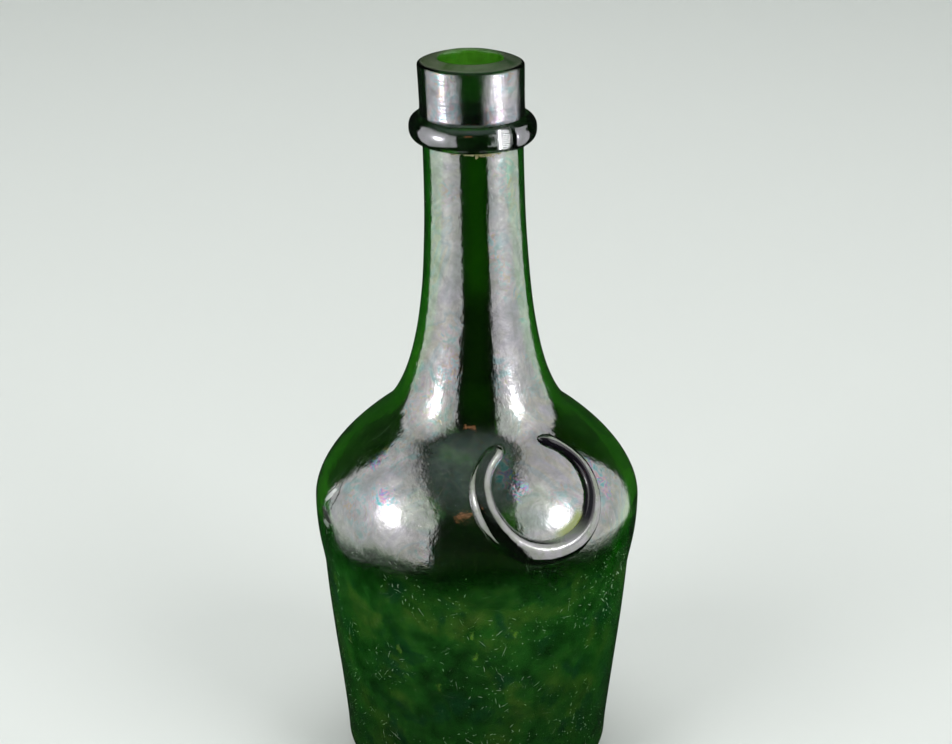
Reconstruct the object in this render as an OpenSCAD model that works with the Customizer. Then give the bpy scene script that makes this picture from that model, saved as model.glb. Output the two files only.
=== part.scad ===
// Squat hand-blown bottle with a tooled lip, a string ring and an open horseshoe trail on its shoulder.
// Units are millimetres. The bottle stands on z = 0, its axis is Z, and its front faces -Y.

/* [Bottle] */
// Overall height, from the bearing ring to the top of the lip
total_h = 235; // [228:1:245]
// Widest diameter, at the shoulder
body_d = 103.6; // [100:0.4:110]
// Height of the widest line
wide_z = 93; // [88:1:98]
// Diameter just above the rounded heel
heel_d = 85.6; // [80:0.4:90]
// Radius of the rounded heel
heel_round = 8.5; // [7:0.5:10]
// Wall thickness of the body
wall_t = 3.7; // [3:0.1:4.6]

/* [Neck and mouth] */
// Outside diameter of the neck's straight top
neck_d = 30.6; // [29:0.2:31.4]
// Diameter of the cork seat and mouth
bore_d = 19.6; // [18:0.2:21]
// Outside diameter of the tooled lip
lip_d = 32.2; // [32:0.2:34]
// Outside diameter of the string ring
ring_d = 38.8; // [37:0.2:42]
// Height of the string ring's section
ring_h = 8.4; // [7:0.2:10]
// Distance from the top of the lip to the middle of the string ring
ring_drop = 21.4; // [20:0.2:25]

/* [Horseshoe trail] */
// Turn from the front towards the right
seal_turn = 26.4; // [0:0.2:40]
// Height of the horseshoe's middle on the shoulder
seal_z = 110.4; // [106:0.2:113]
// Radius of the horseshoe's centre line
seal_r = 18.1; // [15:0.1:19]
// Width of the trail at its thickest, on the lower left
trail_w = 8; // [5:0.2:9]
// Opening between the two tips, as an angle about the middle
seal_gap = 41; // [25:1:70]

/* [Base] */
// Height of the punt pushed up under the base
punt_h = 23; // [15:1:30]
// Thickness of the glass at the base
base_t = 4.6; // [4:0.1:5]

/* [Smoothness] */
// Steps along each curve of the outline
steps = 14; // [8:1:18]
// Steps along the horseshoe trail
trail_steps = 66; // [36:2:90]

/* [Hidden] */
$fn = 96;
glass = [0.11, 0.19, 0.05];
body_r = body_d / 2;
neck_r = neck_d / 2;
bore_r = bore_d / 2;
lip_r = lip_d / 2;
ring_r = ring_d / 2;
ring_z = total_h - ring_drop;
// Wall slope just above the heel, in degrees off vertical
heel_lean = 2.8;
// The faint line left on the wall by the top of the dip mould
mould_z = wide_z - 24;
mould_r = body_r - 2.8;
// The point between shoulder and neck where the curve turns over, and its slope off vertical
turn_z = wide_z + 28.2;
turn_r = body_r - 20.7;
turn_lean = 53;
// The neck is straight above this height
straight_z = total_h - 33;
// The neck is pinched in where the lip is wrapped round it
pinch_r = bore_r + 3.4;
pinch_z = ring_z + 5.6;
collar_z = ring_z + 0.38 * ring_h;
sheared_z = total_h - 5;
// Bearing ring
bearing_out = heel_d / 2 - heel_round;
bearing_in = bearing_out - 2.3;
punt_flat = 10;

// ---- curves -------------------------------------------------------------------------------

// Direction that climbs, leaning outwards by an angle
function dir(a) = [sin(a), cos(a)];

// Point at t on a cubic curve with four control points
function bez(c, t) = pow(1 - t, 3) * c[0] + 3 * t * pow(1 - t, 2) * c[1]
                   + 3 * t * t * (1 - t) * c[2] + pow(t, 3) * c[3];

// Direction at t on the same curve
function bez_dir(c, t) = let (d = pow(1 - t, 2) * (c[1] - c[0]) + 2 * t * (1 - t) * (c[2] - c[1])
                       + t * t * (c[3] - c[2])) d / norm(d);

// Points of a curve without its last one, moved sideways by the thickness that wall() gives
function run(c) = [for (i = [0:steps - 1]) bez(c, i / steps)];
function shifted(c, t, w) = let (d = bez_dir(c, t)) bez(c, t) + w * [-d[1], d[0]];
function inner_run(c) = [for (i = [0:steps - 1]) shifted(c, i / steps, wall(bez(c, i / steps)[1]))];

function arc(x, z, r, a0, a1, n) =
    [for (i = [0:n]) let (a = a0 + (a1 - a0) * i / n) [x + r * cos(a), z + r * sin(a)]];

function backwards(list) = [for (i = [len(list) - 1:-1:0]) list[i]];

// ---- the blown outline, each point is [radius, height] ------------------------------------

heel_end = [bearing_out, heel_round] + heel_round * [cos(heel_lean), -sin(heel_lean)];
mould_line = [mould_r, mould_z];
widest = [body_r, wide_z];
turn = [turn_r, turn_z];
neck_top = [neck_r, straight_z];

side = [heel_end, heel_end + 13 * dir(heel_lean), mould_line - 24 * dir(4), mould_line];
swell = [mould_line, mould_line + 7 * dir(4), widest - [0, 13.5], widest];
shoulder = [widest, widest + [0, 8.8], turn - 13.6 * dir(-turn_lean), turn];
flare = [turn, turn + 14.5 * dir(-turn_lean), neck_top - [0, 42], neck_top];
punt = [[bearing_in, 0], [bearing_in - 9, 0], [punt_flat + 10, punt_h], [punt_flat, punt_h]];

outer_wall = concat(run(side), run(swell), run(shoulder), run(flare), [neck_top]);

// Thick at the heel and again up the neck, where it closes in on the cork seat
function wall(z) = lookup(z, [
    [heel_round, base_t + 0.4],
    [heel_round + 18, wall_t + 0.5],
    [wide_z - 30, wall_t],
    [turn_z, wall_t + 0.2],
    [turn_z + 40, neck_r - bore_r - 0.9],
    [straight_z, neck_r - bore_r]
]);

inner_wall = concat(inner_run(side), inner_run(swell), inner_run(shoulder), inner_run(flare),
                    [[bore_r, straight_z]]);

punt_under = concat(run(punt), [[punt_flat, punt_h]]);
punt_over = [for (i = [0:steps]) shifted(punt, i / steps, -base_t)];

heel_outside = arc(bearing_out, heel_round, heel_round, -90, -heel_lean, 8);
heel_inside = arc(bearing_out, heel_round, heel_round - base_t - 0.4, -84, -heel_lean, 5);

// Radius of the outside at a height, used to lay the trail on the glass
surface = [for (p = outer_wall) [p[1], p[0]]];
function surface_r(z) = lookup(z, surface);

// ---- blown body ---------------------------------------------------------------------------

module blown_body() {
    color(glass)
    rotate_extrude()
    polygon(concat(
        [[0, punt_h]],
        backwards(punt_under),
        heel_outside,
        [for (i = [1:len(outer_wall) - 1]) outer_wall[i]],
        [
            [neck_r, pinch_z],
            [pinch_r, pinch_z + 2.2],
            [pinch_r, sheared_z],
            [bore_r, sheared_z]
        ],
        backwards(inner_wall),
        backwards([for (i = [0:len(heel_inside) - 2]) heel_inside[i]]),
        punt_over,
        [[0, punt_h + base_t]]
    ));
}

// ---- lip and string ring ------------------------------------------------------------------

// The top slopes gently outwards and turns down over a tight edge
lip_brow = [
    [bore_r + 1.3, total_h],
    [lip_r - 0.7, total_h - 1.3],
    [lip_r, total_h - 1.4],
    [lip_r, total_h - 2.4]
];

module applied_lip() {
    color(glass)
    rotate_extrude()
    polygon(concat(
        [[bore_r, sheared_z]],
        arc(bore_r + 1.1, total_h - 1.1, 1.1, 180, 90, 6),
        run(lip_brow),
        [
            [lip_r, total_h - 2.4],
            [lip_r - 0.2, total_h - 12],
            [lip_r, (total_h - 12 + collar_z) / 2],
            [lip_r, collar_z],
            [neck_r, collar_z],
            [neck_r, pinch_z],
            [pinch_r, pinch_z + 2.2],
            [pinch_r, sheared_z]
        ]
    ));
}

// Half of a softly squared oval, from straight down to where it meets the lip
function ring_edge(a) = [
    neck_r + (ring_r - neck_r) * pow(cos(a), 0.8),
    ring_z + ring_h / 2 * sign(sin(a)) * pow(abs(sin(a)), 0.9)
];
lap = acos(pow((lip_r - neck_r) / (ring_r - neck_r), 1 / 0.8));

module string_ring() {
    color(glass)
    rotate_extrude()
    polygon(concat(
        [for (i = [0:20]) ring_edge(-90 + (90 + lap) * i / 20)],
        [
            [lip_r, collar_z],
            [neck_r, collar_z]
        ]
    ));
}

// ---- horseshoe trail ----------------------------------------------------------------------

function on_axis(r, z) = [r * sin(seal_turn), -r * cos(seal_turn), z];

// Outward normal of the glass above a point
function normal_at(p) = let (
        slope = (surface_r(p[2] + 0.5) - surface_r(p[2] - 0.5)),
        n = [p[0], p[1], -slope * norm([p[0], p[1]])]
    ) n / norm(n);

seal_mid = on_axis(surface_r(seal_z), seal_z);
seal_out = normal_at(seal_mid);
seal_across = [cos(seal_turn), sin(seal_turn), 0];
seal_up = cross(seal_out, seal_across);

// How far a point sinks along the seal's axis before it meets the glass, found by halving
function sink(p, low, high, n) = let (
        mid = (low + high) / 2,
        q = p - mid * seal_out
    ) n == 0 ? mid
    : norm([q[0], q[1]]) > surface_r(q[2]) ? sink(p, mid, high, n - 1)
    : sink(p, low, mid, n - 1);

function trail_mid(a) = let (p = seal_mid + seal_r * (cos(a) * seal_across + sin(a) * seal_up))
    p - sink(p, -12, 40, 24) * seal_out;

first_tip = 91.5 + seal_gap / 2;
last_tip = 91.5 + 360 - seal_gap / 2;
function trail_angle(i) = first_tip + (last_tip - first_tip) * i / trail_steps;

// Half width of the trail: widest on the lower left, rounded off over the last steps of each tip
function half_width(a) = trail_w * (0.375 - 0.13 * cos(a - 45));
function tip(i) = let (u = min(i, trail_steps - i) / 3) u >= 1 ? 1 : sqrt(1 - pow(1 - max(u, 0.04), 2));

// Section of the trail: a low D, sunk slightly into the glass
arc_steps = 14;
sunk = 0.7;
function section(i) = let (
        a = trail_angle(i),
        c = trail_mid(a),
        out = normal_at(c),
        ahead = trail_mid(a + 1) - trail_mid(a - 1),
        side = cross(ahead / norm(ahead), out),
        w = half_width(a) * tip(i),
        h = (1.1 * half_width(a) + 0.1) * tip(i)
    ) concat(
        [for (k = [0:arc_steps]) c + w * cos(180 * k / arc_steps) * side
                                   + h * sin(180 * k / arc_steps) * out],
        [c - 0.9 * w * side - sunk * out, c + 0.9 * w * side - sunk * out]
    );

module horseshoe_seal() {
    n = arc_steps + 3;
    rows = trail_steps + 1;
    points = [for (i = [0:trail_steps]) each section(i)];
    walls = [for (i = [0:rows - 2], k = [0:n - 1]) each [
        [i * n + k, i * n + (k + 1) % n, (i + 1) * n + k],
        [i * n + (k + 1) % n, (i + 1) * n + (k + 1) % n, (i + 1) * n + k]
    ]];
    ends = [
        [for (k = [n - 1:-1:0]) k],
        [for (k = [0:n - 1]) (rows - 1) * n + k]
    ];
    color(glass)
    polyhedron(points, concat(walls, ends));
}

// ---- pontil scar --------------------------------------------------------------------------

// A broken ring of glass: its edges wander by a millimetre or so
function ragged(r, wander, waves) = [for (a = [0:10:350])
    (r + wander * (sin(waves * a) + 0.6 * sin((waves + 4) * a + 50))) * [cos(a), sin(a)]];

module scar_layer(inner, outer, wander, waves, z, h) {
    translate([0, 0, z])
    linear_extrude(height = h)
    difference() {
        polygon(ragged(outer, wander, waves));
        polygon(ragged(inner, wander, waves + 2));
    }
}

module pontil_scar() {
    color(glass)
    union() {
        scar_layer(5, 8.6, 0.35, 5, punt_h - 0.9, 0.9);
        scar_layer(5.7, 7.8, 0.3, 7, punt_h - 1.7, 1);
    }
}

blown_body();
applied_lip();
string_ring();
horseshoe_seal();
pontil_scar();
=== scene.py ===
import math

import bmesh
import bpy
import numpy as np
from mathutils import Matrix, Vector, noise


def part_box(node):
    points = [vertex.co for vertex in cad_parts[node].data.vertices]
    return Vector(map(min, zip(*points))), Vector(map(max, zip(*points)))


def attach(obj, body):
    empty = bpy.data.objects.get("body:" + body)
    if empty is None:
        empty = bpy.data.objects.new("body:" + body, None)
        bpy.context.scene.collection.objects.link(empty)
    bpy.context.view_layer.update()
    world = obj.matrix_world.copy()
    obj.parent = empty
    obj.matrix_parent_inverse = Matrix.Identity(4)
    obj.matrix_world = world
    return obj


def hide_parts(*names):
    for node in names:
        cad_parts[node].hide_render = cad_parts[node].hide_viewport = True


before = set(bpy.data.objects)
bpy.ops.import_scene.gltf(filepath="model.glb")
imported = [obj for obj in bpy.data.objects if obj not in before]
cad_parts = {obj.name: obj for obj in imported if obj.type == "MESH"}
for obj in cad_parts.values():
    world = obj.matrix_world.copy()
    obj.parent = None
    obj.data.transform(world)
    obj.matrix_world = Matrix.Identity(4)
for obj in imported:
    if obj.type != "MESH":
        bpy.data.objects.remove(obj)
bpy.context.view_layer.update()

MM = 0.001


# ---------------------------------------------------------------- sizes, the main ones from the CAD boxes
def span(node):
    lo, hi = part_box(node)
    return [v / MM for v in lo], [v / MM for v in hi]


body_lo, body_hi = span("blown_body")
lip_lo, lip_hi = span("applied_lip")
ring_lo, ring_hi = span("string_ring")
_, scar_hi = span("pontil_scar")

TOP = lip_hi[2]
BODY_R = (body_hi[0] - body_lo[0]) / 2
LIP_R = (lip_hi[0] - lip_lo[0]) / 2
RING_R = (ring_hi[0] - ring_lo[0]) / 2
RING_H = 8.4
RING_Z = ring_lo[2] + RING_H / 2
PUNT_H = scar_hi[2]
NECK_R, BORE_R = LIP_R - 0.8, LIP_R - 6.3
NECK_Z = TOP - 33          # where the flare ends and the straight neck starts
SEAT_Z = TOP - 31.5        # the foot of the cork's seat
WIDE_Z = TOP - 142
HEEL_R, HEEL_ROUND = BODY_R - 9, 8.5
BASE_T, WALL_T = 4.6, 3.7
JOIN_Z = lip_lo[2] + 0.6   # where the vessel's glass ends inside the lip's
SIDE_LEAN, MOULD_LEAN, TURN_LEAN = 2.8, 4, -53   # degrees from upright
OUTSIDE, INSIDE = 0.0, 1.0   # the attribute that tells a glass wall's faces apart
UNROLL_R, UV_PER_MM = 48, 0.01   # the vessel's UV map is its side unrolled at this radius


# ---------------------------------------------------------------- outline
def climb(degrees):
    """The direction that leans outwards by so many degrees on its way up."""
    a = math.radians(degrees)
    return np.array([math.sin(a), math.cos(a)])


def bez(c, t):
    """A point of the cubic curve with the four control points c."""
    return (1 - t) ** 3 * c[0] + 3 * t * (1 - t) ** 2 * c[1] + 3 * t * t * (1 - t) * c[2] + t ** 3 * c[3]


def bez_dir(c, t):
    d = (1 - t) ** 2 * (c[1] - c[0]) + 2 * t * (1 - t) * (c[2] - c[1]) + t * t * (c[3] - c[2])
    return d / np.linalg.norm(d)


def pt(r, z):
    return np.array([float(r), float(z)])


heel_mid = pt(HEEL_R - HEEL_ROUND, HEEL_ROUND)
heel_end = heel_mid + HEEL_ROUND * climb(90 + SIDE_LEAN)
mould, widest = pt(BODY_R - 2.8, WIDE_Z - 24), pt(BODY_R, WIDE_Z)
turn, neck_top = pt(BODY_R - 20.7, WIDE_Z + 28.2), pt(NECK_R, NECK_Z)
SIDE = [heel_end, heel_end + 13 * climb(SIDE_LEAN), mould - 24 * climb(MOULD_LEAN), mould]
SWELL = [mould, mould + 7 * climb(MOULD_LEAN), widest - pt(0, 13.5), widest]
SHOULDER = [widest, widest + pt(0, 8.8), turn - 13.6 * climb(TURN_LEAN), turn]
FLARE = [turn, turn + 14.5 * climb(TURN_LEAN), neck_top - pt(0, 42), neck_top]
bear_in = HEEL_R - HEEL_ROUND - 2.3
PUNT = [pt(bear_in, 0), pt(bear_in - 9, 0), pt(20, PUNT_H), pt(10, PUNT_H)]

WALL_Z = [HEEL_ROUND, HEEL_ROUND + 18, WIDE_Z - 30, turn[1], turn[1] + 40, NECK_Z]
WALL_W = [BASE_T + 0.4, WALL_T + 0.5, WALL_T, WALL_T + 0.2, NECK_R - BORE_R - 0.9, NECK_R - BORE_R]


def shifted(c, t, w):
    """The curve's point moved w to the left of the way it runs."""
    d = bez_dir(c, t)
    return bez(c, t) + w * np.array([-d[1], d[0]])


def sample(c, n):
    return [bez(c, i / n) for i in range(n)]


def sample_in(c, n):
    """The same stretch of the wall's inside, as thick as WALL_W says at each height."""
    return [shifted(c, i / n, float(np.interp(bez(c, i / n)[1], WALL_Z, WALL_W))) for i in range(n)]


def arc(c, r, a0, a1, n):
    turns = [math.radians(a0 + (a1 - a0) * i / n) for i in range(n + 1)]
    return [c + r * pt(math.cos(a), math.sin(a)) for a in turns]


def tagged(points, tag):
    return [(p[0], p[1], tag) for p in points]


outer_wall = sample(SIDE, 40) + sample(SWELL, 18) + sample(SHOULDER, 44) + sample(FLARE, 52) + [neck_top]
inner_wall = sample_in(SIDE, 18) + sample_in(SWELL, 7) + sample_in(SHOULDER, 20) + sample_in(FLARE, 22)
inner_wall += [pt(BORE_R, NECK_Z)]
surf_z = [p[1] for p in outer_wall]
surf_r = [p[0] for p in outer_wall]


def surface_r(z):
    return float(np.interp(z, surf_z, surf_r))


def lean(z):
    """How far the real bottle's neck leans at a height, to the left as the photo shows it."""
    return -1.75 * max(0.0, (z - 150) / 80) ** 1.5


def smooth(a, b, x):
    t = min(max((x - a) / (b - a), 0.0), 1.0)
    return t * t * (3 - 2 * t)


def wobble(x, y, z, size, seed):
    return noise.noise(Vector((x / size + seed, y / size, z / size)))


# ---------------------------------------------------------------- mesh makers
def lathe(name, rows, segs, shape, closed=False):
    """Turns rows of (radius, height, tag) about the axis. shape(r, z, a, tag) gives the final point in mm.
    A row at radius 0 becomes one vertex. Adds a UV map of the turn by the height, and the tag as the
    attribute "inner"."""
    verts, tags, index = [], [], []
    for r, z, tag in rows:
        start, around = len(verts), 1 if r < 1e-6 else segs
        index.append([start + k % around for k in range(segs)])
        verts += [shape(r, z, 2 * math.pi * k / segs - math.pi if r else 0.0, tag) for k in range(around)]
        tags += [tag] * around
    faces, uvs = [], []
    for i in range(len(rows) if closed else len(rows) - 1):
        j = (i + 1) % len(rows)
        for k in range(segs):
            m = (k + 1) % segs
            corners = {}
            for v, turn_k, row in ((index[i][k], k, i), (index[i][m], k + 1, i),
                                   (index[j][m], k + 1, j), (index[j][k], k, j)):
                corners.setdefault(v, (turn_k / segs, rows[row][1] * UV_PER_MM))
            if len(corners) > 2:
                faces.append(list(corners))
                uvs += corners.values()
    obj = new_object(name, verts, faces, True)
    obj.data.uv_layers.new(name="wrap").data.foreach_set("uv", [c for uv in uvs for c in uv])
    obj.data.attributes.new("inner", "FLOAT", "POINT").data.foreach_set("value", tags)
    return put_in(obj)


def new_object(name, verts, faces, smooth_faces):
    mesh = bpy.data.meshes.new(name)
    mesh.from_pydata([tuple(c * MM for c in v) for v in verts], [], faces)
    mesh.polygons.foreach_set("use_smooth", [smooth_faces] * len(faces))
    mesh.update()
    return bpy.data.objects.new(name, mesh)


def put_in(obj):
    """Links a piece into the scene with its faces looking outwards."""
    bm = bmesh.new()
    bm.from_mesh(obj.data)
    if bm.calc_volume(signed=True) < 0:
        bmesh.ops.reverse_faces(bm, faces=bm.faces)
        bm.to_mesh(obj.data)
    bm.free()
    bpy.context.scene.collection.objects.link(obj)
    return obj


# ---------------------------------------------------------------- blown vessel
CHIP_A, CHIP_Z = math.radians(-66.5), WIDE_Z + 4


def vessel_shape(r, z, a, tag):
    """A little out of round, more so inside, where no mould touched the glass."""
    s, c = math.sin(a), -math.cos(a)
    x, y = r * s, r * c
    if tag < 0.5:
        d = 0.22 * wobble(x, y, z, 46, 1.7) + 0.07 * wobble(x, y, z, 15, 4.2)
        d *= smooth(0, 14, z)
        d += 0.035 * wobble(x, y, z * 0.16, 2.6, 9.1) * smooth(96, 112, z)
    else:
        d = 0.5 * wobble(x, y, z, 30, 11.3) + 0.18 * wobble(x, y, z, 9, 14.9)
        d *= smooth(4, 20, z) * (1 - 0.75 * smooth(165, 200, z)) * (1 - smooth(200, 206, z))
    k = (r + d) / r if r > 1e-6 else 1.0
    return (x * k + lean(z), y * k, z)


rows = [(r, PUNT_H, OUTSIDE) for r in (0.0, 2.5, 5.0, 7.5)]
rows += tagged([bez(PUNT, 1 - i / 22) for i in range(22)], OUTSIDE)
rows += [(bear_in, 0.0, OUTSIDE), (bear_in + 0.8, 0.0, OUTSIDE)]
rows += tagged(arc(heel_mid, HEEL_ROUND, -90, -SIDE_LEAN, 14), OUTSIDE)
rows += tagged(outer_wall[1:], OUTSIDE)
rows += [(NECK_R, z, OUTSIDE) for z in np.linspace(SEAT_Z, JOIN_Z, 8)]
rows += [(NECK_R - 1.5, JOIN_Z, 0.4), (NECK_R - 3.5, JOIN_Z, 0.6), (BORE_R, JOIN_Z, INSIDE)]
rows += [(BORE_R, z, INSIDE) for z in np.linspace(JOIN_Z - 2, SEAT_Z, 6)]
rows += tagged(inner_wall[::-1], INSIDE)
rows += tagged(arc(heel_mid, HEEL_ROUND - BASE_T - 0.4, -84, -SIDE_LEAN, 8)[-2::-1], INSIDE)
rows += tagged([shifted(PUNT, i / 16, -BASE_T) for i in range(17)], INSIDE)
rows += [(5.0, PUNT_H + BASE_T, INSIDE), (0.0, PUNT_H + BASE_T, INSIDE)]
vessel = lathe("vessel", rows, 288, vessel_shape)

# ---------------------------------------------------------------- lip
brow = [pt(BORE_R + 1.3, TOP), pt(LIP_R - 0.7, TOP - 1.3), pt(LIP_R, TOP - 1.4), pt(LIP_R, TOP - 2.4)]


def lip_shape(r, z, a, tag):
    x, y = r * math.sin(a), -r * math.cos(a)
    d = 0.0
    if tag < 0.5:
        d = 0.16 * wobble(x, y, z * 0.4, 19, 21.4) + 0.03 * wobble(x, y, z * 0.2, 3, 23.0)
    k = (r + d) / r
    return (x * k + lean(z), y * k, z + 0.14 * wobble(x, y, 0, 14, 26.0) * smooth(TOP - 6, TOP, z))


rim = arc(pt(BORE_R + 1.1, TOP - 1.1), 1.1, 180, 90, 8)
# the wall is slightly hollow: how far in it lies, at how far down from the top
hollow = [(0.0, 2.4), (0.05, 5.5), (0.12, 8.5), (0.16, 11), (0.2, 13.5), (0.12, 16), (0.0, 18.3)]
rows = [(BORE_R, z, INSIDE) for z in np.linspace(JOIN_Z, TOP - 2.0, 12)]
rows += tagged(rim[:3], INSIDE) + tagged(rim[3:] + sample(brow, 22), OUTSIDE)
rows += [(LIP_R - inwards, TOP - down, OUTSIDE) for inwards, down in hollow]
rows += [(LIP_R - inwards, JOIN_Z, OUTSIDE) for inwards in (0.0, 1.6, 3.6)]
lip = lathe("lip", rows, 224, lip_shape, closed=True)

# ---------------------------------------------------------------- string ring
LAP_A = math.radians(39)            # where the trail's two ends meet
FLAT_A = math.radians(29.6)         # the middle of the flat it was pressed on
FLAT_N = np.array([0.490, -0.861, 0.135])
FLAT_DEEP = 0.9
flat_top = np.array([RING_R * math.sin(FLAT_A), -RING_R * math.cos(FLAT_A), RING_Z])
FLAT_D = float(FLAT_N @ flat_top) - FLAT_DEEP


def ring_shape(r, z, a, tag):
    x, y = r * math.sin(a), -r * math.cos(a)
    out = max(0.0, (r - NECK_R) / (RING_R - NECK_R))
    d = out * (0.28 * wobble(x, y, 0, 15, 31.0) + 0.1 * wobble(x, y, z, 5, 33.0))
    lap = a - LAP_A
    d -= out * 1.25 * math.exp(-(lap / 0.045) ** 2)
    d += out * 0.35 * math.exp(-((lap + 0.17) / 0.12) ** 2)
    k = (r + d) / r
    drop = 0.25 * wobble(x, y, 0, 22, 36.0) + 0.3 * math.exp(-((lap - 0.2) / 0.2) ** 2)
    p = np.array([x * k, y * k, z - drop])
    if -0.105 < a - FLAT_A < 0.12:
        p -= FLAT_N * max(0.0, float(p @ FLAT_N) - FLAT_D)
    return (p[0] + lean(z), p[1], p[2])


def fuller(wave, power):
    """A sine or cosine with a fuller curve for powers under 1."""
    return math.copysign(abs(wave) ** power, wave)


sunk_r = NECK_R - 0.3
rows = []
for i in range(40):
    t = math.radians(-90 + 180 * i / 39)
    bulge = fuller(math.cos(t), 0.8) if 0 < i < 39 else 0.0
    z = RING_Z + RING_H / 2 * fuller(math.sin(t), 0.9)
    rows.append((sunk_r + (RING_R - sunk_r) * bulge, z, OUTSIDE))
rows += [(NECK_R - 0.6, RING_Z + RING_H * f, OUTSIDE) for f in (0.42, 0.2, 0.0, -0.2, -0.42)]
ring = lathe("ring_trail", rows, 288, ring_shape, closed=True)

# ---------------------------------------------------------------- horseshoe trail
SEAL_TURN = math.radians(26.4)
SEAL_Z, SEAL_R, TRAIL_W = WIDE_Z + 17.4, 18.1, 8.0
GAP_MID, GAP_HALF, THICK_AT = 91.5, 20.5, 225   # degrees in the seal's own plane
FIRST, LAST = GAP_MID + GAP_HALF, GAP_MID + 360 - GAP_HALF


def unit(v):
    return v / np.linalg.norm(v)


def normal_at(p):
    slope = surface_r(p[2] + 0.5) - surface_r(p[2] - 0.5)
    return unit(np.array([p[0], p[1], -slope * math.hypot(p[0], p[1])]))


seal_r = surface_r(SEAL_Z)
seal_mid = np.array([seal_r * math.sin(SEAL_TURN), -seal_r * math.cos(SEAL_TURN), SEAL_Z])
seal_out = normal_at(seal_mid)
seal_across = np.array([math.cos(SEAL_TURN), math.sin(SEAL_TURN), 0.0])
seal_up = np.cross(seal_out, seal_across)


def on_glass(u, v):
    """The point of the outside that lies under (u, v) of the seal's own plane."""
    p = seal_mid + u * seal_across + v * seal_up
    lo, hi = -12.0, 40.0
    for _ in range(24):
        m = (lo + hi) / 2
        q = p - m * seal_out
        lo, hi = (m, hi) if math.hypot(q[0], q[1]) > surface_r(q[2]) else (lo, m)
    return p - (lo + hi) / 2 * seal_out


def trail_mid(a):
    r = SEAL_R + 0.25 * math.sin(math.radians(2 * a + 40)) + 0.12 * math.sin(math.radians(5 * a))
    return on_glass(r * math.cos(math.radians(a)), r * math.sin(math.radians(a)))


def trail_half(a):
    """Half the trail's width, greatest at the lower left."""
    return TRAIL_W * (0.375 + 0.13 * math.cos(math.radians(a - THICK_AT)))


STEPS, SIDES = 190, 34
verts, faces, painted_crook_shade = [], [], []
for i in range(STEPS + 1):
    a = FIRST + (LAST - FIRST) * i / STEPS
    c = trail_mid(a)
    out = normal_at(c)
    side = unit(np.cross(unit(trail_mid(a + 0.7) - trail_mid(a - 0.7)), out))
    half = trail_half(a) * (1 + 0.035 * noise.noise(Vector((i * 0.09, 3.3, 0.0))))
    from_tip = min(i, STEPS - i) / 8
    end = 1.0 if from_tip >= 1 else math.sqrt(1 - (1 - max(from_tip, 0.03)) ** 2)
    w, h = half * end, (half + 0.1) * end * (1 + 0.04 * noise.noise(Vector((i * 0.07, 8.1, 0.0))))
    for k in range(SIDES + 1):
        t = math.pi * k / SIDES
        # a fat D whose flanks turn in at the foot, with painted shade in black in the crook on the right
        verts.append(c + w * fuller(math.cos(t), 0.80) * side + h * math.sin(t) ** 0.84 * out)
        # painted shade: black on the inner flank of the right limb
        painted_crook_shade.append(smooth(245, 325, a) * smooth(0.0, 0.28, -math.cos(t)))
    painted_crook_shade += [painted_crook_shade[-1], painted_crook_shade[-1] * 0.5, 0.0, 0.0]
    verts += [c + across * w * side - sunk * out
              for across, sunk in ((-0.88, 0.7), (-0.3, 0.75), (0.3, 0.75), (0.88, 0.7))]
section = SIDES + 5
for i in range(STEPS):
    for k in range(section):
        a, b = i * section + k, i * section + (k + 1) % section
        faces.append((a, a + section, b + section, b))
faces += [tuple(range(section)), tuple(STEPS * section + k for k in reversed(range(section)))]
seal = put_in(new_object("horseshoe_trail", verts, faces, True))
seal.data.attributes.new("painted_crook_shade", "FLOAT", "POINT").data.foreach_set("value", painted_crook_shade)

# ---------------------------------------------------------------- crumbs under the string ring
rng = np.random.default_rng(7)
ON_RING, CRUMBS = 84, 110   # the first ones lie all along the ring, the rest hang below it
RINGS, AROUND = 5, 8
verts, faces = [], []
for crumb in range(CRUMBS):
    hangs = crumb >= ON_RING
    a = math.radians(rng.uniform(2, 24) if hangs else rng.normal(8, 17))
    z = ring_lo[2] - rng.uniform(-0.1, 0.55) - (0.9 * rng.random() if hangs else 0)
    size = rng.uniform(0.12, 0.27) * (1.4 if crumb % 6 == 0 else 1)
    r = NECK_R + size * 0.3
    c = np.array([r * math.sin(a) + lean(z), -r * math.cos(a), z])
    base = len(verts)
    for i in range(RINGS + 1):
        for k in range(AROUND):
            p, q = math.pi * i / RINGS, 2 * math.pi * k / AROUND
            d = np.array([math.sin(p) * math.cos(q) * 1.2, math.sin(p) * math.sin(q), math.cos(p)])
            lumpy = 1 + 0.45 * noise.noise(Vector(d * 1.7) + Vector((crumb * 3.1, 0, 0)))
            verts.append(c + d * size * lumpy)
    for i in range(RINGS):
        for k in range(AROUND):
            a, b = base + i * AROUND + k, base + i * AROUND + (k + 1) % AROUND
            faces.append((a, a + AROUND, b + AROUND, b))
crumbs = put_in(new_object("wax_crumbs", verts, faces, False))


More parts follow.
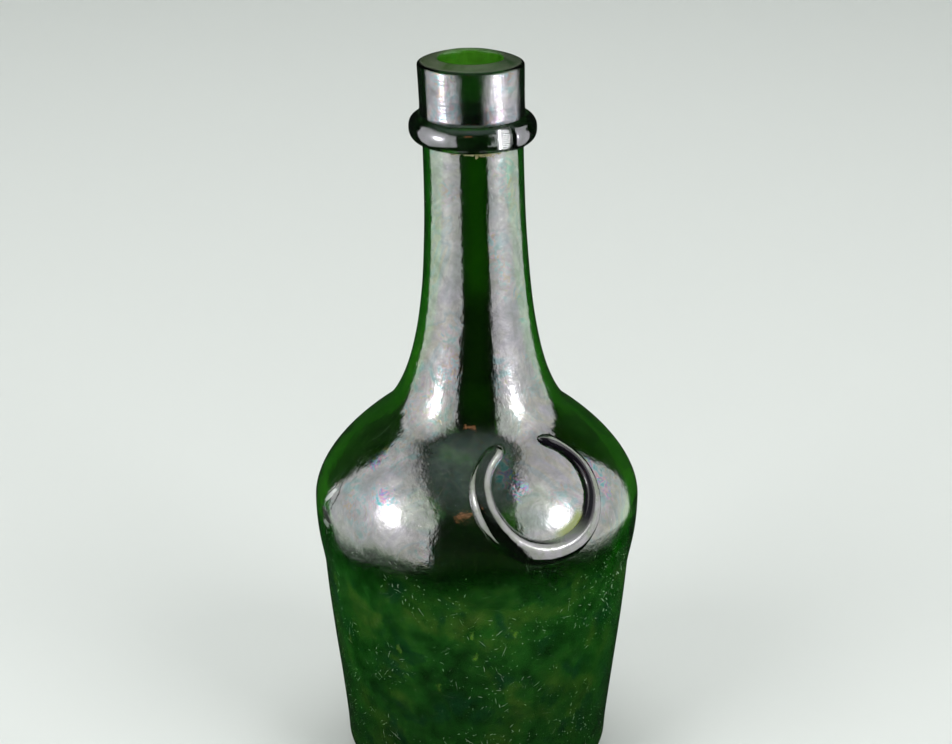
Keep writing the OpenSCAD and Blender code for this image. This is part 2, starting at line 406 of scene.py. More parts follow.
# ---------------------------------------------------------------- node helper
class Net:
    """Short calls for building one node tree."""

    def __init__(self, tree):
        self.tree = tree
        tree.nodes.clear()

    def node(self, kind, **props):
        made = self.tree.nodes.new(kind)
        for key, value in props.items():
            setattr(made, key, value)
        return made

    def put(self, socket, value):
        if isinstance(value, bpy.types.NodeSocket):
            self.tree.links.new(value, socket)
        else:
            socket.default_value = value

    def math(self, op, *values, clamp=False):
        made = self.node("ShaderNodeMath", operation=op, use_clamp=clamp)
        for socket, value in zip(made.inputs, values):
            self.put(socket, value)
        return made.outputs[0]

    def chain(self, op, values):
        out = values[0]
        for value in values[1:]:
            out = self.math(op, out, value)
        return out

    def mul(self, *values):
        return self.chain("MULTIPLY", values)

    def add(self, *values):
        return self.chain("ADD", values)

    def most(self, *values):
        return self.chain("MAXIMUM", values)

    def sub(self, a, b):
        return self.math("SUBTRACT", a, b)

    def inv(self, x):
        return self.sub(1.0, x)

    def length(self, a, b):
        return self.math("SQRT", self.add(self.mul(a, a), self.mul(b, b)))

    def map(self, x, limits, ends, kind):
        made = self.node("ShaderNodeMapRange", interpolation_type=kind)
        names = ("Value", "From Min", "From Max", "To Min", "To Max")
        for name, value in zip(names, (x, *limits, *ends)):
            self.put(made.inputs[name], value)
        return made.outputs["Result"]

    def step(self, x, low, high):
        """0 below low, 1 above high, smooth between."""
        return self.map(x, (low, high), (0.0, 1.0), "SMOOTHSTEP")

    def range(self, x, low, high, start, end):
        return self.map(x, (low, high), (start, end), "LINEAR")

    def vary(self, x, start, end):
        """Spreads a noise, which stays near its middle, from start to end."""
        return self.range(x, 0.3, 0.7, start, end)

    def mix(self, fac, a, b, blend="MIX"):
        made = self.node("ShaderNodeMix", data_type="RGBA", blend_type=blend)
        self.put(made.inputs["Factor"], fac)
        for socket, value in ((made.inputs[6], a), (made.inputs[7], b)):
            self.put(socket, (*value, 1.0) if isinstance(value, tuple) else value)
        return made.outputs[2]

    def split(self, vector):
        made = self.node("ShaderNodeSeparateXYZ")
        self.put(made.inputs[0], vector)
        return made.outputs

    def attr(self, name):
        return self.node("ShaderNodeAttribute", attribute_name=name).outputs["Fac"]

    def scaled(self, vector, scale):
        made = self.node("ShaderNodeVectorMath", operation="MULTIPLY")
        self.put(made.inputs[0], vector)
        made.inputs[1].default_value = scale
        return made.outputs[0]

    def moved(self, vector, offset):
        made = self.node("ShaderNodeVectorMath", operation="ADD")
        self.put(made.inputs[0], vector)
        made.inputs[1].default_value = offset
        return made.outputs[0]

    def turned(self, vector, angle):
        made = self.node("ShaderNodeVectorRotate", rotation_type="Z_AXIS")
        self.put(made.inputs["Vector"], vector)
        self.put(made.inputs["Angle"], angle)
        return made.outputs[0]

    def noise(self, vector, scale, detail=3.0, rough=0.55, distort=0.0, output="Fac"):
        made = self.node("ShaderNodeTexNoise")
        names = ("Vector", "Scale", "Detail", "Roughness", "Distortion")
        for name, value in zip(names, (vector, scale, detail, rough, distort)):
            self.put(made.inputs[name], value)
        return made.outputs[output]

    def cells(self, vector):
        """A flat Voronoi pattern, and the random values of its cells."""
        made = self.node("ShaderNodeTexVoronoi", voronoi_dimensions="2D", feature="F1")
        self.put(made.inputs["Vector"], vector)
        made.inputs["Scale"].default_value = 1.0
        chance = self.node("ShaderNodeSeparateColor")
        self.put(chance.inputs[0], made.outputs["Color"])
        return made, chance.outputs

    def ramp(self, fac, stops):
        made = self.node("ShaderNodeValToRGB")
        while len(made.color_ramp.elements) < len(stops):
            made.color_ramp.elements.new(0.5)
        for element, (position, colour) in zip(made.color_ramp.elements, stops):
            element.position, element.color = position, (*colour, 1.0)
        self.put(made.inputs[0], fac)
        return made.outputs[0]

    def bump(self, height, strength, distance, normal=None):
        made = self.node("ShaderNodeBump")
        self.put(made.inputs["Height"], height)
        made.inputs["Strength"].default_value = strength
        made.inputs["Distance"].default_value = distance
        if normal is not None:
            self.put(made.inputs["Normal"], normal)
        return made.outputs[0]

    def lines(self, flat, cell, length, width, keep, seed, bend=0.0):
        """Short marks scattered one to a cell over a flat map, each with its own direction. The share
        keep of the cells has one, and bend is how far a mark wavers, in mm."""
        if bend:
            waver = self.node("ShaderNodeVectorMath", operation="MULTIPLY_ADD")
            self.put(waver.inputs[0], self.noise(flat, 1.0 / (cell * 1.1), 1.0, 0.5, 0.0, "Color"))
            waver.inputs[1].default_value = (bend, bend, 0.0)
            self.put(waver.inputs[2], flat)
            flat = waver.outputs[0]
        flat = self.scaled(self.moved(flat, (seed, seed * 1.7, 0.0)), (1.0 / cell, 1.0 / cell, 0.0))
        pattern, chance = self.cells(flat)
        off = self.node("ShaderNodeVectorMath", operation="SUBTRACT")
        self.put(off.inputs[0], flat)
        self.put(off.inputs[1], pattern.outputs["Position"])
        along, across, _ = self.split(self.turned(off.outputs[0], self.mul(chance[0], math.tau)))
        reach = self.mul(self.add(chance[1], 0.25), length / cell)
        share = self.math("DIVIDE", self.math("ABSOLUTE", along), reach)
        taper = self.math("SUBTRACT", 1.0, share, clamp=True)
        thin = self.mul(self.math("SQRT", taper), width / cell)
        mark = self.math("LESS_THAN", self.math("ABSOLUTE", across), thin)
        depth = self.math("SUBTRACT", 1.0, self.math("DIVIDE", chance[2], keep), clamp=True)
        return self.mul(mark, self.math("POWER", depth, 0.8))


# ---------------------------------------------------------------- what the glasses share
def material_net(name):
    mat = bpy.data.materials.new(name)
    mat.use_nodes = True
    net = Net(mat.node_tree)
    out = net.node("ShaderNodeOutputMaterial")
    shader = net.node("ShaderNodeBsdfPrincipled")
    net.put(out.inputs["Surface"], shader.outputs[0])
    return mat, net, out, shader.inputs


def glass_net(name, absorb, density):
    """Clear glass with its colour in the depth. The density is per metre."""
    mat, net, out, shader = material_net(name)
    shader["IOR"].default_value = 1.5
    volume = net.node("ShaderNodeVolumeAbsorption")
    volume.inputs["Color"].default_value = (*absorb, 1.0)
    volume.inputs["Density"].default_value = density
    net.put(out.inputs["Volume"], volume.outputs[0])
    return mat, net, shader


def place(n):
    """The object's coordinates in mm, as a vector and one by one."""
    mm = n.scaled(n.node("ShaderNodeTexCoord").outputs["Object"], (1000.0, 1000.0, 1000.0))
    return (mm, *n.split(mm))


def bearing(n, x, y):
    """The angle round the axis in radians, 0 at the front and rising to the right."""
    return n.math("ARCTAN2", x, n.mul(y, -1.0))


BLOOM = [(0.0, (0.50, 0.53, 0.62)), (0.28, (0.66, 0.62, 0.72)), (0.42, (0.74, 0.70, 0.76)),
         (0.52, (0.80, 0.76, 0.78)), (0.62, (0.60, 0.66, 0.74)), (0.72, (0.76, 0.70, 0.66)),
         (1.0, (0.66, 0.60, 0.76))]
BROAD_FILM = [(0.0, (0.25, 0.60, 0.70)), (0.30, (0.38, 0.72, 0.74)), (0.38, (0.70, 0.70, 0.76)),
              (0.60, (0.76, 0.72, 0.78)), (0.66, (0.86, 0.58, 0.70)), (0.71, (0.62, 0.48, 0.82)),
              (0.76, (0.82, 0.74, 0.40)), (1.0, (0.30, 0.55, 0.85))]
FINE_FILM = [(0.0, (0.30, 0.70, 0.78)), (0.36, (0.45, 0.74, 0.80)), (0.43, (0.72, 0.70, 0.78)),
             (0.56, (0.76, 0.72, 0.78)), (0.62, (0.88, 0.52, 0.66)), (0.68, (0.55, 0.42, 0.84)),
             (0.74, (0.84, 0.72, 0.36)), (1.0, (0.80, 0.45, 0.35))]
VIVID_FILM = [(0.0, (0.10, 0.62, 0.70)), (0.25, (0.40, 0.70, 0.85)), (0.40, (0.80, 0.76, 0.88)),
              (0.55, (0.95, 0.45, 0.62)), (0.68, (0.42, 0.32, 0.95)), (0.82, (0.30, 0.75, 0.80)),
              (1.0, (0.95, 0.80, 0.32))]


def patina_colour(n, mm):
    """Grey-lavender bloom with small teal, pink, gold and blue patches."""
    def wide(*args):
        return n.range(n.noise(mm, *args), 0.32, 0.68, 0.0, 1.0)

    bloom = n.ramp(wide(0.045, 4.0, 0.6, 0.8), BLOOM)
    broad = n.ramp(wide(0.13, 4.0, 0.62, 1.6), BROAD_FILM)
    fine = n.ramp(wide(0.42, 3.0, 0.6, 1.2), FINE_FILM)
    film = n.mix(n.step(n.noise(mm, 0.11, 2.0), 0.47, 0.60), broad, fine)
    film = n.mix(n.mul(n.step(n.noise(mm, 0.07, 3.0), 0.45, 0.62), 0.65), bloom, film)
    shade = n.range(n.noise(mm, 0.16, 5.0, 0.68, 0.6), 0.35, 0.65, 0.66, 1.12)
    return n.mix(1.0, film, shade, "MULTIPLY")


# ---------------------------------------------------------------- vessel glass
def add_attribute(obj, name, values):
    obj.data.attributes.new(name, "FLOAT", "POINT").data.foreach_set("value", values)


def trail_masks():
    """covered: under the trail, which was laid on fresh glass, so nothing has weathered there.
    The gleam mask: a painted yellow gleam of light, with no bloom, in the crook at the trail's lower right."""
    turns = [FIRST + (LAST - FIRST) * i / 120 for i in range(2, 119)]
    mids = np.array([trail_mid(a) for a in turns])
    halves = np.array([trail_half(a) for a in turns])
    coords = np.empty(len(vessel.data.vertices) * 3)
    vessel.data.vertices.foreach_get("co", coords)
    coords = coords.reshape(-1, 3) / MM
    near = np.nonzero(np.linalg.norm(coords - seal_mid, axis=1) < 32)[0]
    gap = np.linalg.norm(coords[near, None] - mids[None], axis=2)
    best = gap.argmin(axis=1)
    covered, painted_gleam = np.zeros(len(coords)), np.zeros(len(coords))
    covered[near] = gap[np.arange(len(near)), best] < halves[best] - 0.45
    for i in near:
        u, v = (coords[i] - seal_mid) @ seal_across, (coords[i] - seal_mid) @ seal_up
        turn_deg = math.degrees(math.atan2(v, u)) % 360
        reach = math.hypot(u, v)
        crook = smooth(12.3, 13.6, reach) * (1 - smooth(16.6, 17.4, reach))
        # painted light: the yellow gleam in the crook at the trail's lower right
        painted_gleam[i] = crook * smooth(268, 290, turn_deg) * (1 - smooth(318, 332, turn_deg))
    add_attribute(vessel, "covered", covered)
    add_attribute(vessel, "painted_gleam", painted_gleam)


def scratches(n, flat, angle, z):
    """Hairlines, nicks and pin-pricks gathered in patches, and close parallel scuffs on the right."""
    hair = n.lines(flat, 4.2, 2.1, 0.05, 0.30, 3.0, 1.2)
    nick = n.lines(flat, 2.0, 0.75, 0.06, 0.26, 41.0, 0.5)
    prick = n.lines(flat, 1.3, 0.11, 0.10, 0.30, 77.0)
    stretched = n.scaled(n.turned(flat, math.radians(-32)), (1.0, 0.30, 0.0))
    scuff = n.lines(stretched, 1.1, 0.5, 0.10, 0.7, 19.0)
    off_angle = n.math("ABSOLUTE", n.sub(angle, math.radians(60)))
    off_z = n.math("ABSOLUTE", n.sub(z, WIDE_Z - 25))
    scuff = n.mul(scuff, n.inv(n.step(off_angle, 0.07, 0.22)), n.inv(n.step(off_z, 8.0, 24.0)),
                  n.step(n.noise(flat, 0.11, 2.0), 0.45, 0.58))
    patch = n.add(n.mul(n.step(n.noise(flat, 0.035, 3.0, 0.6), 0.42, 0.62), 0.75), 0.25)
    return n.mul(n.most(n.mul(hair, 0.9), nick, n.mul(prick, 0.9), n.mul(scuff, 1.2)), patch)


def seed_spots(n, flat):
    """A few small ragged bubbles near the surface."""
    pattern, chance = n.cells(n.scaled(n.moved(flat, (4.0, 2.0, 0.0)), (0.085, 0.045, 0.0)))
    ragged = n.add(pattern.outputs["Distance"], n.vary(n.noise(flat, 0.7, 3.0, 0.7), -0.07, 0.09))
    return n.mul(n.inv(n.step(ragged, 0.01, 0.10)), n.math("LESS_THAN", chance[0], 0.16))


def mottled_green(n, mm, z, cloud, cloud2, seeds):
    """The cloudy colour of the worn body below the shoulder."""
    green = n.ramp(n.add(n.mul(cloud, 0.7), n.mul(cloud2, 0.3)),
                   [(0.34, (0.008, 0.085, 0.008)), (0.44, (0.016, 0.170, 0.014)),
                    (0.52, (0.030, 0.235, 0.018)), (0.60, (0.090, 0.270, 0.020)),
                    (0.70, (0.160, 0.300, 0.035))])
    blue = n.step(n.noise(mm, 0.09, 4.0, 0.65, 0.4), 0.52, 0.66)
    green = n.mix(blue, green, (0.008, 0.120, 0.036))
    dust = n.vary(n.noise(mm, 1.3, 3.0, 0.7), 0.0, 0.35)
    green = n.mix(dust, green, (0.07, 0.25, 0.06))
    green = n.mix(n.mul(seeds, 0.4), green, (0.26, 0.36, 0.04))
    # painted shade: the green is darker towards the bottom
    return n.mix(1.0, green, n.range(z, 8.0, WIDE_Z - 12, 0.62, 1.12), "MULTIPLY")


def stain_and_painted_shade_inside(n, mm, x, z, cloud):
    """Olive stain inside, with painted shade in black at the neck's foot and under the shoulder, front and
    back.
    """
    stain = n.ramp(n.noise(mm, 0.04, 4.0, 0.6), [(0.3, (0.060, 0.085, 0.018)), (0.7, (0.120, 0.140, 0.030))])
    height = n.add(z, n.vary(cloud, -5.0, 5.0))

    def band(low, full, fading, high):
        above = n.step(height, WIDE_Z + low, WIDE_Z + full)
        return n.mul(above, n.inv(n.step(height, WIDE_Z + fading, WIDE_Z + high)))

    # painted shade: black bands inside, only near the front and back
    painted_inner_shade = n.most(band(24, 36, 60, 74), band(-14, -4, 4, 14))
    width = n.range(z, WIDE_Z, WIDE_Z + 30, 36.0, 20.0)
    painted_inner_shade = n.mul(painted_inner_shade, n.inv(n.step(n.math("ABSOLUTE", x), 9.0, width)))
    return n.mix(n.mul(painted_inner_shade, 0.93), stain, (0.003, 0.004, 0.002))


def film_patch(n, mm, u, v, angle, z, half_u, half_v):
    """A ragged patch of bright film. Its middle is at an angle in degrees and a height in mm."""
    du = n.math("DIVIDE", n.sub(u, (math.radians(angle) + math.pi) * UNROLL_R), half_u)
    dv = n.math("DIVIDE", n.sub(v, z), half_v)
    reach = n.add(n.length(du, dv), n.vary(n.noise(mm, 0.5, 3.0, 0.6), -0.4, 0.4))
    return n.inv(n.step(reach, 0.45, 1.0))


def chip_oval(n, mm, u, v, centre, half, turn_deg, full):
    """One oval of the chip, in mm from its middle, with a ragged edge that starts at the share full."""
    c, s = math.cos(math.radians(turn_deg)), math.sin(math.radians(turn_deg))
    du = n.sub(n.sub(u, (CHIP_A + math.pi) * UNROLL_R), centre[0])
    dv = n.sub(n.sub(v, CHIP_Z), centre[1])
    along = n.math("DIVIDE", n.add(n.mul(du, c), n.mul(dv, s)), half[0])
    across = n.math("DIVIDE", n.sub(n.mul(dv, c), n.mul(du, s)), half[1])
    ragged = n.vary(n.noise(mm, 0.9, 2.0), -0.22, 0.22)
    return n.inv(n.step(n.add(n.length(along, across), ragged), full, 1.0))


def body_glass():
    mat, n, shader = glass_net("body_glass", (0.55, 0.87, 0.25), 600.0)
    mm, x, y, z = place(n)
    wrap = n.node("ShaderNodeUVMap", uv_map="wrap").outputs[0]
    flat = n.scaled(wrap, (math.tau * UNROLL_R, 1 / UV_PER_MM, 0.0))
    u, v, _ = n.split(flat)
    angle = bearing(n, x, y)
    inner = n.attr("inner")
    outer = n.inv(n.math("GREATER_THAN", inner, 0.5))
    painted_gleam = n.mul(n.attr("painted_gleam"), outer)

    # the weathered bloom ends in a wavering line just under the widest place
    edge = n.add(z, n.vary(n.noise(mm, 0.07, 5.0, 0.7), -3.0, 3.0))
    upper = n.step(edge, WIDE_Z - 6.0, WIDE_Z + 1.5)
    lower = n.mul(n.inv(upper), outer)
    bloom = n.mul(upper, outer, n.inv(n.most(n.attr("covered"), painted_gleam)),
                  n.vary(n.noise(mm, 0.05, 5.0, 0.65, 0.6), 0.72, 1.0))
    front = n.inv(n.step(n.math("ABSOLUTE", angle), 0.12, 0.26))
    bloom = n.mul(bloom, n.inv(n.mul(front, 0.92, n.step(z, WIDE_Z + 31, WIDE_Z + 37))))

    cloud = n.noise(mm, 0.055, 5.0, 0.62, 0.5)
    cloud2 = n.noise(mm, 0.16, 4.0, 0.6)
    marks = n.mul(scratches(n, flat, angle, z), n.add(lower, n.mul(bloom, 0.12)))
    seeds = n.mul(seed_spots(n, flat), lower)

    bright = n.most(film_patch(n, mm, u, v, 13.0, WIDE_Z + 23, 4.5, 5.5),
                    film_patch(n, mm, u, v, 17.0, WIDE_Z + 19, 5.0, 3.5))
    films = n.most(bright, film_patch(n, mm, u, v, -39.0, WIDE_Z + 14, 5.5, 3.0),
                   film_patch(n, mm, u, v, 58.0, WIDE_Z + 16, 4.0, 8.0),
                   film_patch(n, mm, u, v, -52.0, WIDE_Z + 22, 4.5, 5.0))
    vivid = n.ramp(n.range(n.noise(mm, 0.30, 3.0, 0.6, 0.8), 0.34, 0.66, 0.0, 1.0), VIVID_FILM)

    # an old chip: a curved flake with a painted white highlight across it, painted black shade in the notch
    # below and a lump under that
    flake = n.mul(chip_oval(n, mm, u, v, (0.8, 2.6), (3.0, 5.4), -24, 0.8), outer)
    painted_notch_shade = n.mul(chip_oval(n, mm, u, v, (0.4, -3.2), (4.6, 1.5), -18, 0.7), outer)
    painted_glint = n.mul(chip_oval(n, mm, u, v, (-0.2, 3.4), (1.1, 4.2), -34, 0.6), outer)
    lump = n.mul(chip_oval(n, mm, u, v, (0.2, -6.0), (3.0, 1.5), 0, 0.5), outer)

    colour = n.mix(n.step(lower, 0.3, 0.9), (0.80, 0.88, 0.70), mottled_green(n, mm, z, cloud, cloud2, seeds))
    colour = n.mix(bloom, colour, n.mix(films, patina_colour(n, mm), vivid))
    colour = n.mix(inner, colour, stain_and_painted_shade_inside(n, mm, x, z, cloud))
    colour = n.mix(marks, colour, (0.62, 0.70, 0.58))
    # painted shade in black in the notch, then a painted white highlight for the glint
    colour = n.mix(n.mul(painted_notch_shade, 0.95), colour, (0.004, 0.006, 0.004))
    colour = n.mix(painted_glint, colour, (0.9, 0.92, 0.9))
    colour = n.mix(n.mul(lump, 0.8), colour, (0.42, 0.44, 0.42))
    # a painted yellow gleam of light in the crook at the trail's lower right
    colour = n.mix(n.mul(painted_gleam, 0.9), colour, (0.30, 0.36, 0.03))
    n.put(shader["Base Color"], colour)

    haze = n.add(n.range(cloud2, 0.35, 0.65, 0.17, 0.32), n.mul(seeds, 0.3))
    haze = n.mul(n.inv(n.step(edge, WIDE_Z - 20, WIDE_Z - 3)), outer, haze)
    chip_lump_and_painted_light = n.most(painted_notch_shade, n.mul(n.most(painted_glint, n.mul(lump, 0.8)), 0.8))
    n.put(shader["Transmission Weight"],
          n.mul(n.inv(haze), n.inv(n.mul(marks, 0.9)), n.inv(n.mul(painted_gleam, 0.7)), n.inv(chip_lump_and_painted_light)))
    n.put(shader["Metallic"], n.mul(bloom, n.add(0.30, n.mul(bright, 0.22)), n.inv(painted_notch_shade)))
    n.put(shader["Roughness"], n.add(0.045, n.mul(bloom, n.vary(cloud2, 0.03, 0.09)),
                                     n.mul(lower, n.vary(cloud, 0.05, 0.15)), n.mul(marks, 0.3)))

    # drawn streaks on the neck's foot, dimples everywhere
    streak = n.sub(n.noise(n.scaled(mm, (1.0, 1.0, 0.12)), 0.5, 3.0, 0.6), 0.5)
    dimple = n.sub(n.noise(mm, 0.30, 3.0, 0.6), 0.5)
    foot = n.mul(n.step(z, WIDE_Z + 30, WIDE_Z + 44), n.inv(n.mul(n.step(z, WIDE_Z + 46, WIDE_Z + 72), 0.75)))
    relief = n.add(n.mul(streak, n.add(n.mul(foot, 0.40), 0.02)), n.mul(dimple, 0.45))
    relief = n.add(relief, n.sub(n.mul(lump, 0.8), n.mul(flake, 1.2)))
    normal = n.bump(n.mul(relief, outer), 0.5, 0.0005)
    n.put(shader["Normal"], n.bump(n.mul(marks, -1.0), 0.3, 0.0003, normal))
    return mat


# ---------------------------------------------------------------- glass of the smaller pieces
def lip_glass():
    mat, n, shader = glass_net("lip_glass", (0.52, 0.81, 0.22), 700.0)
    mm, x, _, z = place(n)
    inner = n.attr("inner")
    outer = n.inv(n.math("GREATER_THAN", inner, 0.3))
    wall = n.mul(n.inv(n.step(z, TOP - 2.2, TOP - 1.7)), outer)
    wear = n.noise(mm, 0.12, 5.0, 0.65, 0.5)
    slope = n.mul(n.step(z, TOP - 1.4, TOP - 1.0), outer, n.vary(wear, 0.5, 1.0))
    # painted shade: the inside of the bore is near black from about 15 mm below the top down
    painted_bore_shade = n.mul(inner, n.inv(n.step(z, TOP - 15.5, TOP - 13.8)))
    clear = n.mix(inner, (0.80, 0.90, 0.66), n.mix(painted_bore_shade, (0.50, 0.62, 0.34), (0.030, 0.045, 0.012)))
    # the top slope's olive is lighter on the left and darker on the right, painted shade
    slope_tone_and_painted_shade = n.mix(n.range(x, -9.0, 12.0, 0.0, 1.0), (0.070, 0.150, 0.030), (0.010, 0.080, 0.010))
    n.put(shader["Base Color"], n.mix(slope, n.mix(wall, clear, patina_colour(n, mm)), slope_tone_and_painted_shade))
    n.put(shader["Metallic"], n.mul(wall, n.vary(wear, 0.22, 0.30)))
    n.put(shader["Transmission Weight"], n.inv(n.mul(slope, 0.34)))
    n.put(shader["Roughness"], n.add(0.04, n.mul(wall, n.vary(wear, 0.02, 0.09))))
    tooling = n.noise(n.scaled(mm, (0.03, 0.03, 1.6)), 1.0, 4.0, 0.7)
    ripple = n.noise(n.scaled(mm, (1.0, 1.0, 0.25)), 0.4, 3.0, 0.6)
    n.put(shader["Normal"], n.bump(n.add(n.mul(tooling, 1.2), ripple), 0.25, 0.0004))
    return mat


def ring_glass():
    mat, n, shader = glass_net("ring_glass", (0.45, 0.72, 0.2), 900.0)
    mm, x, y, z = place(n)
    wear = n.noise(mm, 0.2, 5.0, 0.65, 0.5)
    n.put(shader["Base Color"], n.mix(n.step(wear, 0.3, 0.7), (0.62, 0.66, 0.66), (0.72, 0.68, 0.78)))
    shader["Transmission Weight"].default_value = 1.0
    # the flat is clean glass, crossed by fine creases
    off_flat = n.math("ABSOLUTE", n.sub(bearing(n, x, y), FLAT_A))
    clean = n.inv(n.mul(n.inv(n.step(off_flat, 0.10, 0.16)), 0.85))
    n.put(shader["Metallic"], n.mul(n.vary(wear, 0.14, 0.22), clean))
    crease = n.math("SINE", n.add(n.mul(z, 11.0), n.mul(x, 3.0), n.mul(n.noise(mm, 0.8, 2.0), 9.0)))
    crease = n.mul(n.step(crease, 0.35, 0.8), n.inv(n.step(off_flat, 0.08, 0.11)))
    n.put(shader["Roughness"], n.add(n.vary(wear, 0.04, 0.12), n.mul(crease, 0.5)))
    n.put(shader["Normal"], n.bump(n.noise(mm, 0.5, 3.0, 0.6), 0.2, 0.0003))
    return mat


def seal_glass():
    mat, n, shader = glass_net("seal_glass", (0.40, 0.72, 0.2), 1500.0)
    mm = place(n)[0]
    wear = n.noise(mm, 0.16, 5.0, 0.65, 0.5)
    # the black in the crook on the right is painted shade
    painted_crook_shade = n.attr("painted_crook_shade")
    skin = n.mix(n.step(wear, 0.35, 0.65), (0.70, 0.76, 0.62), (0.78, 0.76, 0.80))
    n.put(shader["Base Color"], n.mix(painted_crook_shade, skin, (0.008, 0.006, 0.010)))
    n.put(shader["Metallic"], n.mul(n.vary(wear, 0.16, 0.26), n.inv(painted_crook_shade)))
    n.put(shader["Transmission Weight"], n.inv(n.mul(painted_crook_shade, 0.9)))
    n.put(shader["Roughness"], n.vary(wear, 0.03, 0.08))
    n.put(shader["Normal"], n.bump(n.noise(mm, 0.45, 3.0, 0.6), 0.2, 0.0003))
    return mat


def scar_glass():
    mat, n, shader = glass_net("scar_glass", (0.5, 0.80, 0.2), 700.0)
    mm = place(n)[0]
    frost = n.ramp(n.noise(mm, 0.5, 5.0, 0.7), [(0.3, (0.16, 0.22, 0.10)), (0.7, (0.55, 0.62, 0.45))])
    n.put(shader["Base Color"], frost)
    shader["Transmission Weight"].default_value = 0.5
    n.put(shader["Roughness"], n.vary(n.noise(mm, 1.2, 4.0, 0.7), 0.15, 0.55))
    n.put(shader["Normal"], n.bump(n.noise(mm, 0.9, 5.0, 0.75, 1.0), 0.9, 0.0008))
    return mat


def old_wax():
    mat, n, _, shader = material_net("old_wax")
    mm = place(n)[0]
    tones = [(0.3, (0.30, 0.24, 0.10)), (0.5, (0.55, 0.47, 0.26)), (0.7, (0.72, 0.58, 0.52))]
    n.put(shader["Base Color"], n.ramp(n.noise(mm, 0.6, 4.0, 0.7), tones))
    shader["Roughness"].default_value = 0.8
    n.put(shader["Normal"], n.bump(n.noise(mm, 3.0, 4.0, 0.7), 0.6, 0.0003))
    return mat


trail_masks()
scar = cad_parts["pontil_scar"]
scar.data.materials.clear()
for piece, mat in ((vessel, body_glass()), (lip, lip_glass()), (ring, ring_glass()), (seal, seal_glass()),
                   (scar, scar_glass()), (crumbs, old_wax())):
    piece.data.materials.append(mat)

for piece, node in ((vessel, "blown_body"), (lip, "applied_lip"),
                    (ring, "string_ring"), (seal, "horseshoe_seal")):
    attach(piece, "root")
    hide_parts(node)
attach(crumbs, "root")


# ---------------------------------------------------------------- stage: a round sweep of pale paper
def stage_mesh(name, verts, faces, mat):
    mesh = bpy.data.meshes.new(name)
    mesh.from_pydata(verts, [], faces)
    mesh.materials.append(mat)
    obj = bpy.data.objects.new(name, mesh)
    bpy.context.scene.collection.objects.link(obj)
    return obj


def paper_sweep():
    """A flat floor that curves up into a wall, 1.7 m to 2.6 m from the bottle."""
    flat_r, curve_r, around = 1.7, 0.9, 96
    curve = [(flat_r + curve_r * math.sin(t), curve_r - curve_r * math.cos(t))
             for t in np.linspace(0.1, math.pi / 2, 12)]
    sweep = [(0.4, 0.0), (1.0, 0.0), (flat_r, 0.0)] + curve + [(flat_r + curve_r, 3.2)]
    verts = [(0.0, 0.0, 0.0)]
    for r, z in sweep:
        turns = [k * math.tau / around for k in range(around)]
        verts += [(r * math.sin(a), -r * math.cos(a), z) for a in turns]
    faces = [(0, 1 + k, 1 + (k + 1) % around) for k in range(around)]
    for i in range(len(sweep) - 1):
        for k in range(around):
            a, b = 1 + i * around + k, 1 + i * around + (k + 1) % around
            faces.append((a, a + around, b + around, b))
    mat = bpy.data.materials.new("paper")
    mat.use_nodes = True
    shader = mat.node_tree.nodes["Principled BSDF"].inputs
    shader["Base Color"].default_value = (0.74, 0.76, 0.74, 1.0)
    shader["Roughness"].default_value = 0.9
    shader["Specular IOR Level"].default_value = 0.1
    floor = stage_mesh("paper_sweep", verts, faces, mat)
    floor.data.polygons.foreach_set("use_smooth", [True] * len(faces))
    floor.visible_glossy = False


# ---------------------------------------------------------------- lights
SPOT_R, HALO_R, SPOT_LEVEL = 0.031, 0.105, 16.0   # the lamp's glow in a softbox, in metres


def glow_net(name):
    """A material that only shines, found by reflection and not sampled as a lamp."""
    mat = bpy.data.materials.new(name)
    mat.use_nodes = True
    net = Net(mat.node_tree)
    out, glow = net.node("ShaderNodeOutputMaterial"), net.node("ShaderNodeEmission")
    net.put(out.inputs["Surface"], glow.outputs[0])
    mat.cycles.emission_sampling = "NONE"
    return mat, net, glow.inputs


def only_reflected(obj):
    for kind in ("camera", "diffuse", "transmission", "volume_scatter", "shadow"):
        setattr(obj, "visible_" + kind, False)


def softbox(name, x, y_span, z_span, core, level, slant, rise):
    """An upright diffuser beside the bottle with its lamp behind it at core, seen only in reflections.
    Its lower edge rises by rise and its far edge comes nearer by slant at the height of the lamp."""
    (y0, y1), (z0, z1) = y_span, z_span
    mat, n, glow = glow_net(name)
    _, y, z = n.split(n.node("ShaderNodeNewGeometry").outputs["Position"])
    off = n.length(n.sub(y, core[0]), n.sub(z, core[1]))
    spot, halo = (n.math("POWER", math.e, n.mul(off, off, -1.0 / r ** 2)) for r in (SPOT_R, HALO_R))
    strength = n.add(level, n.mul(halo, level * 0.9), n.mul(spot, SPOT_LEVEL))
    foot = n.range(y, -0.34, -0.08, z0, z0 + rise)
    cut = n.mul(n.range(z, 0.12, 0.25, 0.0, slant), n.inv(n.step(z, 0.27, 0.34)))
    fade = n.mul(n.step(n.sub(z, foot), 0.0, 0.035), n.inv(n.step(z, z1 - 0.19, z1)),
                 n.step(y, y0, y0 + 0.06), n.inv(n.step(n.add(y, cut), y1 - 0.02, y1)))
    n.put(glow["Strength"], n.mul(strength, fade))
    corners = [(x, y0, z0), (x, y1, z0), (x, y1, z1), (x, y0, z1)]
    only_reflected(stage_mesh(name, corners, [(0, 1, 2, 3)], mat))


def warm_card():
    """Something warm stood above the camera and shows in the shoulder."""
    x0, x1, y = -0.115, -0.02, -0.39
    mat, _, glow = glow_net("warm_card")
    glow["Color"].default_value = (1.0, 0.42, 0.22, 1.0)
    glow["Strength"].default_value = 1.8
    corners = [(x0, y, 0.435), (x1, y, 0.455), (x1, y, 0.482), (x0, y, 0.467)]
    only_reflected(stage_mesh("warm_card", corners, [(0, 1, 2, 3)], mat))


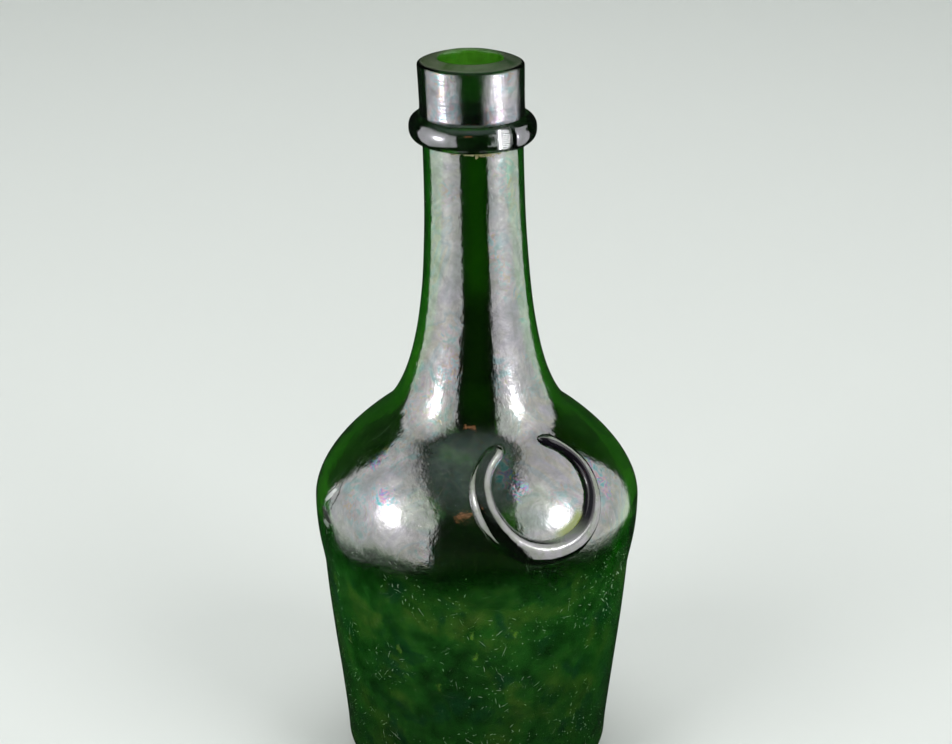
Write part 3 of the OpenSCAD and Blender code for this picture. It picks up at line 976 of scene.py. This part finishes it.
def area(name, where, target, size, power):
    light = bpy.data.lights.new(name, "AREA")
    light.shape, light.size, light.energy = "SQUARE", size, power
    obj = bpy.data.objects.new(name, light)
    obj.location = where
    obj.rotation_euler = (Vector(target) - Vector(where)).to_track_quat("-Z", "Y").to_euler()
    bpy.context.scene.collection.objects.link(obj)
    obj.visible_glossy = False
    obj.visible_camera = False


def dim_room():
    """A dark room with a pale ceiling."""
    world = bpy.data.worlds.new("room")
    bpy.context.scene.world = world
    world.use_nodes = True
    n = Net(world.node_tree)
    out, back = n.node("ShaderNodeOutputWorld"), n.node("ShaderNodeBackground")
    up = n.split(n.node("ShaderNodeTexCoord").outputs["Generated"])[2]
    dark, ceiling = (0.012, 0.016, 0.012), (0.19, 0.235, 0.22)
    n.put(back.inputs["Color"], n.ramp(n.step(up, 0.62, 0.93), [(0.0, dark), (1.0, ceiling)]))
    n.put(out.inputs["Surface"], back.outputs[0])


paper_sweep()
softbox("softbox_left", x=-0.23, y_span=(-0.43, 0.110), z_span=(-0.120, 0.52), core=(-0.122, 0.209),
        level=1.45, slant=0.035, rise=0.075)
softbox("softbox_right", x=0.20, y_span=(-0.375, 0.130), z_span=(-0.090, 0.60), core=(-0.131, 0.204),
        level=1.5, slant=0.060, rise=0.080)
warm_card()
area("key_left", (-1.1, -0.9, 1.2), (0, 0, 0.1), size=0.9, power=12.0)
area("key_right", (1.1, -0.9, 1.2), (0, 0, 0.1), size=0.9, power=12.0)
area("top", (0.0, 0.4, 2.2), (0, 0.3, 0.0), size=1.6, power=26.0)
dim_room()

# ---------------------------------------------------------------- camera
CAMERA_PITCH = 22
cam = bpy.data.cameras.new("camera")
cam.sensor_width, cam.lens = 36.0, 79.7
camera = bpy.data.objects.new("camera", cam)
camera.location = (-0.0003, -0.616, 0.3827)
camera.rotation_euler = (math.radians(90 - CAMERA_PITCH), 0.0, 0.0)
bpy.context.scene.collection.objects.link(camera)
bpy.context.scene.camera = camera
bpy.context.scene.view_settings.view_transform = "Standard"
